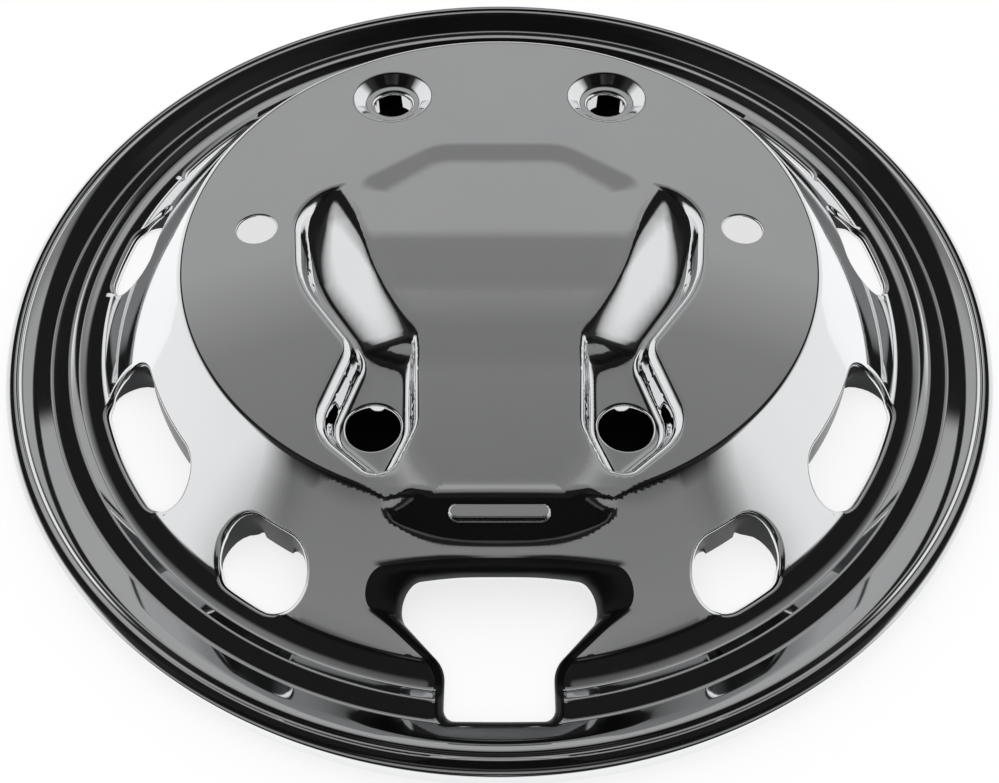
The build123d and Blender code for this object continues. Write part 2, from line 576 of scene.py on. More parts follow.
@dataclass(frozen=True)
class RolledOpening:
    """Pierced opening whose broad edge rolls down from an outer to an inner outline."""

    outer: np.ndarray
    inner: np.ndarray
    drop: float
    lowest: float = 1.5
    first_pull: float = 0.3
    last_pull: float = 0.55
    rows: int = 14
    # Rows from first to last are painted black as a painted dark reflection.
    first_dark: int = 3
    last_dark: int = 13

    def painted_reflection_rows(self) -> range:
        """Give the rows painted black as a painted dark reflection."""
        return range(self.first_dark, self.last_dark)


def round_edge(centre: Sequence[float], radius: float, count: int = 72) -> np.ndarray:
    """Give a round edge, anticlockwise in plan."""
    angle = np.linspace(0.0, 2 * np.pi, count, endpoint=False)
    return np.asarray(centre) + radius * np.column_stack((np.cos(angle), np.sin(angle)))


def even_points(path: np.ndarray, spacing: float) -> np.ndarray:
    """Space points evenly along a closed path.

    Args:
        path: Corners of the closed path.
        spacing: Wanted distance between points.

    Returns:
        Points along the path, one in each row.
    """
    closed = np.vstack((path, path[:1]))
    run = run_along(closed)
    count = int(round(run[-1] / spacing))
    return points_at(closed, run, np.linspace(0.0, run[-1], count, endpoint=False))


def along_loop(path: np.ndarray, distances: Sequence[float], spacing: float) -> list[np.ndarray]:
    """Give rows of points that follow a closed path.

    Args:
        path: Corners of the closed path.
        distances: How far each row lies to the left of the path.
        spacing: Wanted distance between the points of a row.

    Returns:
        One row of points for each distance.
    """
    loop = even_points(path, spacing)
    ahead = np.roll(loop, -1, axis=0) - np.roll(loop, 1, axis=0)
    left = unit_rows(np.column_stack((-ahead[:, 1], ahead[:, 0])))
    return [loop + left * distance for distance in distances]


def matched_loops(outlines: Sequence[Outline], spacing: float, turn_step: float) -> list[np.ndarray]:
    """Space points along closed outlines so that their corners match.

    Args:
        outlines: Corners and bends of each outline, with as many corners in each.
        spacing: Wanted distance between points on the first outline.
        turn_step: Turn between two points of a bend, in degrees.

    Returns:
        Loops with as many points each.
    """
    counts: list[int] = []
    loops = []
    for corners, bends in outlines:
        path = rounded_path(corners, bends, True, turn_step)
        nearest = [int(np.argmin(np.linalg.norm(path - corner, axis=1))) for corner in np.array(corners)]
        path = np.roll(path, -nearest[0], axis=0)
        path = np.vstack((path, path[:1]))
        marks = [index - nearest[0] for index in nearest] + [len(path) - 1]
        run = run_along(path)
        if not counts:
            counts = [ceil((run[end] - run[start]) / spacing) for start, end in zip(marks, marks[1:])]
        stretches = zip(run[marks], run[marks[1:]], counts)
        places = [np.linspace(start, end, count, endpoint=False) for start, end, count in stretches]
        loops.append(points_at(path, run, np.concatenate(places)))
    return loops


@dataclass(frozen=True)
class Openings:
    """Every opening of the cover: stud holes, hand holes round the wall and the keyhole."""

    side_hole_radius: float = 9.0
    side_hole_bend: float = 0.8
    side_hole_flange: float = 0.2
    collar_radius: float = 9.5
    collar_depth: float = 9.0
    collar_bend: float = 2.0
    groove_hole: Point = (-51.5, -99.0)
    groove_hole_radius: float = 11.0
    groove_hole_bend: float = 1.4
    groove_hole_depth: float = 3.0
    hand_circle: float = 179.0
    hand_width: float = 21.0
    hand_spans: tuple[Point, ...] = (
        (29.0, 34.0),
        (51.0, 66.0),
        (91.0, 100.0),
        (117.0, 131.0),
        (147.5, 152.5),
    )
    hand_points: int = 24
    hand_cap_points: int = 17
    hand_passes: int = 6
    hand_draft: float = 8.0
    hand_bend: float = 3.0
    hand_flange: float = 14.0
    keyhole_outer: tuple[Point, ...] = ((53.5, -155.8), (56.0, -168.5), (25.0, -190.0), (24.5, -212.5))
    keyhole_outer_bends: tuple[float, ...] = (9.0, 8.0, 14.0, 6.0)
    keyhole_inner: tuple[Point, ...] = ((34.5, -162.2), (38.0, -171.5), (20.3, -189.5), (20.3, -209.0))
    keyhole_inner_bends: tuple[float, ...] = (8.0, 6.0, 12.0, 4.5)
    keyhole_drop: float = 10.0
    keyhole_turn: float = 3.0
    spacing: float = 1.5

    def stud_holes(self, dish: StudDish) -> list[Opening]:
        """Give the plain side holes, the collars and the grooves' holes.

        Args:
            dish: Dish that a collar stands in.

        Returns:
            The left holes, then the right ones.
        """
        side = np.array([-dish.stud_circle / 2, 0.0])
        groove = np.array(self.groove_hole)
        kinds = (
            (side, self.side_hole_radius, self.side_hole_bend, self.side_hole_flange),
            (dish.centre(), self.collar_radius, self.collar_bend, self.collar_depth - self.collar_bend),
            (groove, self.groove_hole_radius, self.groove_hole_bend, self.groove_hole_depth),
        )
        holes = []
        for half in Half:
            mirror = np.array([-half.value, 1.0])
            for centre, radius, bend, flange in kinds:
                holes.append(Opening(round_edge(centre * mirror, radius), bend, flange))
        return holes

    def hand_holes(self, rim: Rim) -> list[Opening]:
        """Give the hand holes round the wall, wider where the wall is higher.

        Args:
            rim: Turned form whose wall they are pierced in.

        Returns:
            The left holes, then the right ones.
        """
        holes = []
        section = rim.section()
        flare = tan(radians(self.hand_draft))
        for half in Half:
            for start, end in self.hand_spans:
                angles = np.radians(np.linspace(start, end, self.hand_points))
                centres, outward = self._unit_slot(angles)
                width = np.full(len(centres), self.hand_width / 2)
                for _ in range(self.hand_passes):
                    edge = centres + outward * width[:, None]
                    height = section.height(np.hypot(edge[:, 0], edge[:, 1]))
                    width = self.hand_width / 2 + height * flare
                edge = (centres + outward * width[:, None]) * np.array([half.value, 1.0])
                if half is Half.LEFT:
                    edge = edge[::-1]
                edge = even_points(edge, self.spacing)
                # The hand holes' flanges are painted black as a painted dark reflection.
                holes.append(Opening(edge, self.hand_bend, self.hand_flange, self.hand_draft, painted_reflection=True))
        return holes

    def _unit_slot(self, angles: np.ndarray) -> tuple[np.ndarray, np.ndarray]:
        """Give a slot's centre points and outward directions, anticlockwise on the right half.

        Args:
            angles: Angles along the slot's middle line, from the keyhole.

        Returns:
            A centre point and an outward direction for each point of the edge.
        """
        outward = np.column_stack((np.sin(angles), -np.cos(angles)))
        turns = np.linspace(0.0, np.pi, self.hand_cap_points)[1:-1]
        caps = []
        for angle, sign in ((angles[-1], 1.0), (angles[0], -1.0)):
            radial = np.array([sin(angle), -cos(angle)]) * sign
            tangent = np.array([cos(angle), sin(angle)]) * sign
            caps.append(np.outer(np.cos(turns), radial) + np.outer(np.sin(turns), tangent))
        last, first = (np.tile(outward[end], (len(turns), 1)) for end in (-1, 0))
        centres = self.hand_circle * np.vstack((outward, last, outward[::-1], first))
        return centres, np.vstack((outward, caps[0], -outward[::-1], caps[1]))

    def keyhole(self) -> RolledOpening:
        """Give the keyhole, which rolls down broadly all round.

        Returns:
            The opening, with as many points on its outer as on its inner outline.
        """
        outlines = []
        for half, bends in (
            (self.keyhole_outer, self.keyhole_outer_bends),
            (self.keyhole_inner, self.keyhole_inner_bends),
        ):
            left = tuple((-x, y) for x, y in half)
            outlines.append((left + half[::-1], bends + bends[::-1]))
        outer, inner = matched_loops(outlines, self.spacing, self.keyhole_turn)
        return RolledOpening(outer, inner, self.keyhole_drop)


@dataclass(frozen=True)
class Skin:
    """Open mesh of the sheet's face, ready to be given its thickness."""

    points: np.ndarray
    normals: np.ndarray
    faces: list[tuple[int, ...]]
    sides: list[Side]
    rims: list[tuple[list[int], np.ndarray]]


@dataclass(frozen=True)
class Detail:
    """How finely a skin of the sheet is meshed, with turns in degrees."""

    ring_points: int
    ring_turn: float
    ring_gap: float
    plate_gap: float
    largest_turn: float
    most_points: int


FINE = Detail(
    ring_points=360,
    ring_turn=6.5,
    ring_gap=7.0,
    plate_gap=3.4,
    largest_turn=7.0,
    most_points=46000,
)
COARSE = Detail(
    ring_points=180,
    ring_turn=16.0,
    ring_gap=9.0,
    plate_gap=7.0,
    largest_turn=20.0,
    most_points=11500,
)


def add_object(name: str, data: bpy.types.ID) -> bpy.types.Object:
    """Make an object and put it in the scene.

    Args:
        name: Its name.
        data: Its mesh, light or camera.

    Returns:
        The object.
    """
    added = bpy.data.objects.new(name, data)
    bpy.context.scene.collection.objects.link(added)
    return added


@dataclass
class PressedSheet:
    """The cover: one sheet, pressed, pierced and rolled at its rim.

    Rows of mesh points follow its presses. The gap between rows is the gap of the plate's grid over
    press_fineness. The values after it are in such gaps, apart from bead_fineness, the rows to one gap on the
    bead, and the dish's margins, in millimetres.
    """

    rim: Rim = field(default_factory=Rim)
    groove: Groove = field(default_factory=Groove)
    panel: Panel = field(default_factory=Panel)
    dish: StudDish = field(default_factory=StudDish)
    openings: Openings = field(default_factory=Openings)
    sheet: float = 1.0
    press_blend: float = 0.6
    edge_blend: float = 0.4
    edge_points: int = 360
    shortest_edge: float = 0.35
    edge_gap: float = 0.5
    passes: int = 6
    lip_rows: int = 8
    difference: float = 0.02
    same_point: float = 1e-7
    press_fineness: int = 5
    groove_floor_rows: int = 5
    row_spacing: int = 3
    ramp_spacing: int = 2
    bead_fineness: int = 2
    facet_spacing: float = 1.6
    dish_inside: float = 3.0
    dish_outside: float = 4.0

    def height(self, points: np.ndarray) -> np.ndarray:
        """Give the height of the pressed face at points in plan.

        Args:
            points: Points in plan.

        Returns:
            Height at each point.
        """
        folded = np.column_stack((-np.abs(points[:, 0]), points[:, 1]))
        height = self.rim.section().height(np.hypot(points[:, 0], points[:, 1]))
        drop, dip = self.panel.drop(points), self.groove.dip(folded)
        pressed = (drop + dip + np.hypot(drop - dip, self.press_blend * drop)) / 2
        height = lower_of(height, self.rim.plate_height - pressed, self.edge_blend)
        facet = self.panel.facet(points, self.rim.plate_height)
        height = lower_of(height, facet, self.panel.facet_blend)
        return height - self.dish.dip(folded) + self.panel.bead(points)

    def normals(self, points: np.ndarray) -> np.ndarray:
        """Give the upward normal of the pressed face at points in plan.

        Args:
            points: Points in plan.

        Returns:
            Unit normals, one in each row.
        """
        slopes = []
        for axis in (0, 1):
            shift = np.zeros(2)
            shift[axis] = self.difference
            slopes.append((self.height(points + shift) - self.height(points - shift)) / (2 * self.difference))
        return unit_rows(np.column_stack((-slopes[0], -slopes[1], np.ones(len(points)))))

    def frames(self, loop: np.ndarray) -> tuple[np.ndarray, np.ndarray, np.ndarray]:
        """Give the place, normal and inward direction of the face along an anticlockwise loop.

        Args:
            loop: Points of the loop in plan.

        Returns:
            Places, normals and directions into the opening along the face.
        """
        place = np.column_stack((loop, self.height(loop)))
        normal = self.normals(loop)
        ahead = np.roll(place, -1, axis=0) - np.roll(place, 1, axis=0)
        return place, normal, unit_rows(np.cross(normal, ahead))

    def roll(self, opening: Opening, loop: np.ndarray) -> tuple[np.ndarray, ...]:
        """Give the frames of an opening's edge and how it turns down there.

        Args:
            opening: The opening.
            loop: Points in plan where the edge starts to turn.

        Returns:
            Places, normals, inward directions, turns and bend radii.
        """
        place, normal, inward = self.frames(loop)
        flat = unit_rows(inward[:, :2])
        draft = radians(opening.draft)
        down = np.column_stack((flat * sin(draft), np.full(len(flat), -cos(draft))))
        turn = np.arctan2(-(down * normal).sum(1), (down * inward).sum(1))
        bend = np.minimum(opening.bend, opening.longest_roll / np.tan(turn / 2))
        return place, normal, inward, turn, bend

    def mouth(self, opening: Opening | RolledOpening) -> np.ndarray:
        """Give the loop in plan where an opening's edge starts to turn down.

        Args:
            opening: The opening.

        Returns:
            Points of the loop.
        """
        if isinstance(opening, RolledOpening):
            return opening.outer
        _, _, inward, turn, bend = self.roll(opening, opening.edge)
        return opening.edge - inward[:, :2] * (bend * np.tan(turn / 2))[:, None]

    def flange_rows(self, opening: Opening, loop: np.ndarray) -> tuple[np.ndarray, np.ndarray, np.ndarray]:
        """Give the rows of an opening's turned edge.

        Args:
            opening: The opening.
            loop: Its mouth in plan.

        Returns:
            Places and normals, by row, and the direction of the sheet at the last row.
        """
        place, normal, inward, turn, bend = self.roll(opening, loop)
        rows, row_normals = [], []
        for share in np.linspace(0.0, 1.0, opening.bend_rows + 1)[1:]:
            angle = (turn * share)[:, None]
            rows.append(place + bend[:, None] * (np.sin(angle) * inward - (1 - np.cos(angle)) * normal))
            row_normals.append(np.sin(angle) * inward + np.cos(angle) * normal)
        end = np.cos(turn)[:, None] * inward - np.sin(turn)[:, None] * normal
        room = (rows[-1][:, 2] - opening.lowest) / np.clip(-end[:, 2], opening.least_fall, None)
        length = np.clip(np.minimum(opening.flange, room), opening.shortest_flange, None)[:, None]
        start = rows[-1]
        for share in np.linspace(0.0, 1.0, opening.flange_rows + 1)[1:]:
            rows.append(start + end * length * share)
            row_normals.append(row_normals[-1])
        return np.array(rows), np.array(row_normals), end

    def rolled_rows(self, opening: RolledOpening) -> tuple[np.ndarray, np.ndarray, np.ndarray]:
        """Give the rows of a broad rolled edge, along a curve from the face to the inner outline.

        Args:
            opening: The opening.

        Returns:
            Places and normals, by row, and the direction of the sheet at the last row.
        """
        place, normal, inward = self.frames(opening.outer)
        level = np.clip(place[:, 2] - opening.drop, opening.lowest, None)
        edge = np.column_stack((opening.inner, np.minimum(level, place[:, 2] - opening.lowest / 2)))
        reach = np.linalg.norm(edge - place, axis=1)[:, None]
        down = np.tile((0.0, 0.0, -1.0), (len(edge), 1))
        first, last = inward * reach * opening.first_pull, down * reach * opening.last_pull
        controls = (place, place + first, edge - last, edge)
        rows, row_normals = [], []
        for share in np.linspace(0.0, 1.0, opening.rows + 1)[1:]:
            left = 1.0 - share
            weights = (left**3, 3 * left**2 * share, 3 * left * share**2, share**3)
            row = sum(weight * control for weight, control in zip(weights, controls))
            slopes = (left**2, 2 * left * share, share**2)
            falls = [after - before for before, after in zip(controls, controls[1:])]
            fall = sum(slope * step for slope, step in zip(slopes, falls))
            across = np.roll(row, -1, axis=0) - np.roll(row, 1, axis=0)
            rows.append(row)
            row_normals.append(-unit_rows(np.cross(fall, across)))
        return np.array(rows), np.array(row_normals), down

    def seeds(self, loops: list[np.ndarray], detail: Detail) -> np.ndarray:
        """Choose the first points of the mesh, clear of the openings.

        Args:
            loops: Mouths of the openings in plan.
            detail: How fine the mesh is.

        Returns:
            Points in plan.
        """
        circle = round_edge((0.0, 0.0), 1.0, detail.ring_points)
        radii = self.rim.ring_radii(detail.ring_turn, detail.ring_gap)
        points = [circle * radius for radius in radii]
        count = int(2 * radii[0] / detail.plate_gap)
        line = np.linspace(-radii[0], radii[0], count)
        grid = grid_points(line, line)
        points.append(grid[np.hypot(grid[:, 0], grid[:, 1]) < radii[0] - detail.plate_gap / 2])
        points += self.press_rows(detail.plate_gap / self.press_fineness)
        return self.clear_of(np.vstack(points), loops, self.edge_gap)

    def press_rows(self, gap: float) -> list[np.ndarray]:
        """Give points in rows that follow the grooves, the dishes, the panel, the bead and the facet.

        Args:
            gap: Distance between rows.

        Returns:
            Rows of points in plan.
        """
        bend = self.groove.mouth_bend
        spacing = self.row_spacing * gap
        inwards = np.arange(-bend, bend + self.groove_floor_rows * gap, gap)
        rows = along_loop(self.groove.loop(), inwards, spacing)
        innermost = self.openings.collar_radius + self.dish_inside
        for radius in np.arange(innermost, self.dish.mouth_radius + self.dish_outside, gap):
            rows.append(round_edge(self.dish.centre(), radius, int(np.pi * radius / gap)))
        rows += [row * (-1.0, 1.0) for row in rows]
        step = self.ramp_spacing * gap
        rows += along_loop(self.panel.loop(), -np.arange(-gap, self.panel.ramp + step, step), spacing)
        rows.append(self.panel.bead_grid(gap / self.bead_fineness))
        rows.append(self.panel.facet_grid(self.facet_spacing * gap))
        return rows

    def clear_of(self, points: np.ndarray, loops: list[np.ndarray], gap: float) -> np.ndarray:
        """Keep the points that lie outside every loop by a gap.

        Args:
            points: Points in plan.
            loops: Mouths of the openings.
            gap: Least distance to a mouth.

        Returns:
            The points that are kept.
        """
        keep = np.ones(len(points), bool)
        for loop in loops:
            near = close_to(points, loop, gap)
            keep[near] &= signed_distance(points[near], loop) < -gap
        return points[keep]

    def triangulate(self, loops: list[np.ndarray], detail: Detail) -> tuple[np.ndarray, np.ndarray]:
        """Mesh the pressed face in plan, finer where it bends.

        Args:
            loops: The outer loop, then the openings' mouths.
            detail: How fine the mesh is.

        Returns:
            Points in plan, with the loops first, and triangles.
        """
        fixed = np.vstack(loops)
        links = []
        start = 0
        for loop in loops:
            index = np.arange(start, start + len(loop))
            links += list(zip(index.tolist(), np.roll(index, -1).tolist()))
            start += len(loop)
        points = np.vstack((fixed, self.seeds(loops[1:], detail)))
        for _ in range(self.passes):
            triangles = self._triangles(points, links, loops)
            edges = np.vstack((triangles[:, :2], triangles[:, 1:], triangles[:, ::2]))
            edges = np.unique(np.sort(edges, axis=1), axis=0)
            edges = edges[edges[:, 1] >= len(fixed)]
            normals = self.normals(points)
            likeness = (normals[edges[:, 0]] * normals[edges[:, 1]]).sum(1)
            turn = np.degrees(np.arccos(np.clip(likeness, -1.0, 1.0)))
            length = np.linalg.norm(points[edges[:, 0]] - points[edges[:, 1]], axis=1)
            wanted = (turn > detail.largest_turn) & (length > self.shortest_edge)
            room = detail.most_points - len(points)
            if not wanted.any() or room <= 0:
                break
            order = np.argsort(-turn[wanted])[:room]
            middle = points[edges[wanted][order]].mean(1)
            points = np.vstack((points, self.clear_of(middle, loops[1:], self.edge_gap / 2)))
        return points, self._triangles(points, links, loops)

    def _triangles(self, points: np.ndarray, links: list[Link], loops: list[np.ndarray]) -> np.ndarray:
        """Triangulate points in plan and leave out what lies in an opening or past the outer loop.

        Args:
            points: Points in plan.
            links: Pairs of points that an edge has to join.
            loops: The outer loop, then the openings' mouths.

        Returns:
            Triangles, as three point numbers in each row.
        """
        flat = [Vector(point) for point in points]
        result = delaunay_2d_cdt(flat, links, [], 0, self.same_point)
        source = np.array([origin[0] for origin in result[3]])
        triangles = source[np.array(result[2])]
        middle = points[triangles].mean(1)
        inside = np.hypot(middle[:, 0], middle[:, 1]) < np.hypot(*loops[0][0])
        for loop in loops[1:]:
            near = close_to(middle, loop, 0.0)
            near[near] = signed_distance(middle[near], loop) > 0
            inside &= ~near
        return triangles[inside]

    def skin(self, detail: Detail) -> Skin:
        """Mesh the pressed face, the turned edges of its openings and the rolled lip.

        Args:
            detail: How fine the mesh is.

        Returns:
            The open mesh, with the same edges whatever the detail.
        """
        circle = round_edge((0.0, 0.0), 1.0, self.edge_points)
        holes = self.openings.stud_holes(self.dish) + self.openings.hand_holes(self.rim)
        holes.append(self.openings.keyhole())
        mouths = [self.mouth(hole) for hole in holes]
        loops = [circle * (self.rim.radius - self.rim.lip_roll)] + mouths
        plan, triangles = self.triangulate(loops, detail)
        points = [np.column_stack((plan, self.height(plan)))]
        normals = [self.normals(plan)]
        faces = [tuple(int(index) for index in triangle) for triangle in self._upward(plan, triangles)]
        sides = [Side.FACE] * len(faces)
        rims = []
        count = len(plan)
        first = len(loops[0])
        bands = [(np.arange(first), *self._lip_rows(circle), False, range(0))]
        for hole, mouth in zip(holes, mouths):
            rolled = isinstance(hole, RolledOpening)
            rows = self.rolled_rows(hole) if rolled else self.flange_rows(hole, mouth)
            bands.append((np.arange(first, first + len(mouth)), *rows, True, hole.painted_reflection_rows()))
            first += len(mouth)
        for above, rows, row_normals, end, inwards, painted_reflection_rows in bands:
            for number, (row, row_normal) in enumerate(zip(rows, row_normals)):
                below = np.arange(count, count + len(row))
                count += len(row)
                points.append(row)
                normals.append(row_normal)
                faces += self._band(above, below, inwards)
                # Rows with painted dark reflection take the black finish.
                sides += [Side.FLANGE if number in painted_reflection_rows else Side.FACE] * len(row)
                above = below
            rims.append((above.tolist() if inwards else above.tolist()[::-1], end if inwards else end[::-1]))
        log.info("skin with %d points and %d faces", count, len(faces))
        return Skin(np.vstack(points), np.vstack(normals), faces, sides, rims)

    def _lip_rows(self, circle: np.ndarray) -> tuple[np.ndarray, np.ndarray, np.ndarray]:
        """Give the rows of the rolled lip, down to the edge that the cover lies on.

        Args:
            circle: Points of a circle with a radius of one.

        Returns:
            Places and normals, by row, and the direction of the sheet at the last row.
        """
        rows, normals = [], []
        centre = (self.rim.radius - self.rim.lip_roll, self.rim.lip_height - self.rim.lip_roll)
        for share in np.linspace(0.0, 1.0, self.lip_rows + 1)[1:]:
            across, up = sin(share * np.pi / 2), cos(share * np.pi / 2)
            height = np.full((len(circle), 1), centre[1] + self.rim.lip_roll * up)
            rows.append(np.hstack((circle * (centre[0] + self.rim.lip_roll * across), height)))
            normals.append(np.hstack((circle * across, np.full_like(height, up))))
        for height in (centre[1] / 2, 0.0):
            rows.append(np.hstack((circle * self.rim.radius, np.full((len(circle), 1), height))))
            normals.append(normals[-1])
        down = np.tile((0.0, 0.0, -1.0), (len(circle), 1))
        return np.array(rows), np.array(normals), down

    def _upward(self, plan: np.ndarray, triangles: np.ndarray) -> np.ndarray:
        """Turn every triangle to face upwards.

        Args:
            plan: Points in plan.
            triangles: Three point numbers in each row.

        Returns:
            The same triangles, anticlockwise in plan.
        """
        first, second, third = (plan[triangles[:, corner]] for corner in range(3))
        run, rise = second - first, third - first
        down = run[:, 0] * rise[:, 1] - run[:, 1] * rise[:, 0] < 0
        triangles = triangles.copy()
        triangles[down] = triangles[down][:, ::-1]
        return triangles

    def _band(self, above: np.ndarray, below: np.ndarray, inwards: bool) -> list[tuple[int, ...]]:
        """Join two rows of a turned edge with quads that face outwards."""
        quads = zip(above.tolist(), np.roll(above, -1).tolist(), np.roll(below, -1).tolist(), below.tolist())
        return [quad if inwards else quad[::-1] for quad in quads]

    def build(self) -> bpy.types.Object:
        """Give the face its thickness and make the piece.

        Returns:
            The piece, in the frame's place, riding on the cover's body.
        """
        face, back = self.skin(FINE), self.skin(COARSE)
        count = len(face.points)
        points = np.vstack((face.points, back.points - back.normals * self.sheet)) * MM
        faces = list(face.faces)
        faces += [tuple(index + count for index in reversed(corners)) for corners in back.faces]
        corner_normals = [face.normals[list(corners)] for corners in face.faces]
        corner_normals += [-back.normals[list(reversed(corners))] for corners in back.faces]
        sides = [side.value for side in face.sides] + [Side.BACK.value] * len(back.faces)
        for (rim, end), (under, _) in zip(face.rims, back.rims):
            for here in range(len(rim)):
                after = (here + 1) % len(rim)
                faces.append((rim[here], rim[after], under[after] + count, under[here] + count))
                corner_normals.append(end[[here, after, after, here]])
                sides.append(Side.FACE.value)
        mesh = bpy.data.meshes.new(NODE)
        mesh.from_pydata(points.tolist(), [], faces)
        mesh.polygons.foreach_set("use_smooth", [True] * len(faces))
        mesh.polygons.foreach_set("material_index", sides)
        mesh.update()
        mesh.normals_split_custom_set(np.vstack(corner_normals).tolist())
        piece = add_object("pressed_cover", mesh)
        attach(piece, BODY)
        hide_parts(NODE)
        return piece

    def dress(self, piece: bpy.types.Object) -> None:
        """Give the face, the back and the turned edges of the hand holes and the keyhole their finishes; the
        edges' black is a painted dark reflection.
        """
        for finish in (BRIGHT_FACE, DULL_BACK, PAINTED_REFLECTION_FLANGE):
            piece.data.materials.append(finish.material())


class Sock:
    """Output socket of a shader node, with arithmetic that adds Math nodes."""

    def __init__(self, graph: "Graph", socket: bpy.types.NodeSocket) -> None:
        """Wrap a socket of a graph."""
        self.graph = graph
        self.socket = socket

    def out(self, name: str) -> "Sock":
        """Give another output of the same node."""
        return Sock(self.graph, self.socket.node.outputs[name])

    def _math(self, operation: str, first: "Sock | float", second: "Sock | float") -> "Sock":
        """Add a Math node."""
        return self.graph.add("ShaderNodeMath", {"operation": operation}, {0: first, 1: second})

    def __add__(self, other: "Sock | float") -> "Sock":
        """Add."""
        return self._math("ADD", self, other)

    def __radd__(self, other: float) -> "Sock":
        """Add to a number."""
        return self._math("ADD", other, self)

    def __sub__(self, other: "Sock | float") -> "Sock":
        """Subtract."""
        return self._math("SUBTRACT", self, other)

    def __rsub__(self, other: float) -> "Sock":
        """Subtract from a number."""
        return self._math("SUBTRACT", other, self)

    def __mul__(self, other: "Sock | float") -> "Sock":
        """Multiply."""
        return self._math("MULTIPLY", self, other)

    def __rmul__(self, other: float) -> "Sock":
        """Multiply a number."""
        return self._math("MULTIPLY", other, self)

    def __truediv__(self, other: "Sock | float") -> "Sock":
        """Divide."""
        return self._math("DIVIDE", self, other)

    def __rtruediv__(self, other: float) -> "Sock":
        """Divide a number."""
        return self._math("DIVIDE", other, self)


class Graph:
    """Node tree of a material or a world."""

    def __init__(self, tree: bpy.types.NodeTree) -> None:
        """Start with an empty tree."""
        self.tree = tree
        tree.nodes.clear()

    def add(self, kind: str, settings: dict | None = None, sockets: dict | None = None) -> Sock:
        """Add a node.

        Args:
            kind: The node's type.
            settings: Properties that are set first; stops holds a ramp's places and greys.
            sockets: Values or links of the inputs, by name or number.

        Returns:
            The node's first output in use; nothing is linked from an output node.
        """
        node = self.tree.nodes.new(kind)
        for name, value in (settings or {}).items():
            if name == "stops":
                self._stops(node.color_ramp, value)
            else:
                setattr(node, name, value)
        for name, value in (sockets or {}).items():
            if isinstance(value, Sock):
                self.tree.links.new(value.socket, node.inputs[name])
            else:
                node.inputs[name].default_value = value
        return Sock(self, next((socket for socket in node.outputs if socket.enabled), None))

    def _stops(self, ramp: bpy.types.ColorRamp, stops: Sequence[Point]) -> None:
        """Set a ramp's stops.

        Args:
            ramp: The ramp.
            stops: Places and levels of grey, in order.
        """
        while len(ramp.elements) < len(stops):
            ramp.elements.new(1.0)
        for element, (place, level) in zip(ramp.elements, stops):
            element.position = place
            element.color = grey(level)


def positive(value: Sock) -> Sock:
    """Give a value where it is over zero, and zero elsewhere."""
    return value.graph.add("ShaderNodeMath", {"operation": "MAXIMUM"}, {0: value, 1: 0.0})


def soft_share(value: Sock, start: float, end: float) -> Sock:
    """Give a share that grows smoothly from none at start to all at end."""
    span = {"Value": value, "From Min": start, "From Max": end}
    return value.graph.add("ShaderNodeMapRange", {"interpolation_type": "SMOOTHSTEP"}, span)


def mixed_colour(share: Sock, first: Sock | Colour, second: Sock | Colour) -> Sock:
    """Mix two colours by a share of the second."""
    colours = {"Factor": share, "A": first, "B": second}
    return share.graph.add("ShaderNodeMix", {"data_type": "RGBA"}, colours).out("Result")


def new_material(name: str) -> tuple[bpy.types.Material, Graph]:
    """Make an empty material.

    Args:
        name: Its name.

    Returns:
        The material and its node tree.
    """
    material = bpy.data.materials.new(name)
    material.use_nodes = True
    return material, Graph(material.node_tree)


@dataclass(frozen=True)
class MetalFinish:
    """Finish of one side of the sheet: its tint, polish and the slight unevenness of pressed metal."""

    name: str
    tint: Colour
    hazed_tint: Colour
    smoothest: float
    roughest: float
    haze_size: float = 0.02
    haze_detail: float = 3.0
    noise_roughness: float = 0.55
    ripple_size: float = 0.01
    ripple_height: float = 0.00004
    ripple_strength: float = 0.4

    def material(self) -> bpy.types.Material:
        """Make the finish's material.

        Returns:
            The material.
        """
        material, graph = new_material(self.name)
        place = graph.add("ShaderNodeTexCoord").out("Object")
        haze, ripple = (
            graph.add(
                "ShaderNodeTexNoise",
                {"noise_dimensions": "3D"},
                {"Vector": place, "Scale": 1.0 / size, "Detail": detail, "Roughness": self.noise_roughness},
            )
            for size, detail in ((self.haze_size, self.haze_detail), (self.ripple_size, 0.0))
        )
        bump = graph.add(
            "ShaderNodeBump",
            {},
            {"Strength": self.ripple_strength, "Distance": self.ripple_height, "Height": ripple},
        )
        tint = mixed_colour(haze, self.tint, self.hazed_tint)
        shader = graph.add(
            "ShaderNodeBsdfPrincipled",
            {},
            {
                "Metallic": 1.0,
                "Base Color": tint,
                "Roughness": self.smoothest + haze * (self.roughest - self.smoothest),
                "Normal": bump,
            },
        )
        graph.add("ShaderNodeOutputMaterial", {}, {"Surface": shader})
        return material


BRIGHT_FACE = MetalFinish(
    name="bright_face",
    tint=(0.93, 0.935, 0.945, 1.0),
    hazed_tint=(0.87, 0.88, 0.89, 1.0),
    smoothest=0.02,
    roughest=0.06,
    haze_size=0.045,
    ripple_size=0.035,
    ripple_height=0.00006,
    ripple_strength=0.5,
)
DULL_BACK = MetalFinish(
    name="dull_back",
    tint=(0.52, 0.53, 0.55, 1.0),
    hazed_tint=(0.40, 0.41, 0.42, 1.0),
    smoothest=0.28,
    roughest=0.48,
)
# Black finish for the turned edges: a painted dark reflection, not a colour of the metal.
PAINTED_REFLECTION_FLANGE = MetalFinish(
    name="painted_reflection_flange",
    tint=(0.050, 0.051, 0.053, 1.0),
    hazed_tint=(0.030, 0.031, 0.032, 1.0),
    smoothest=0.25,
    roughest=0.40,
)


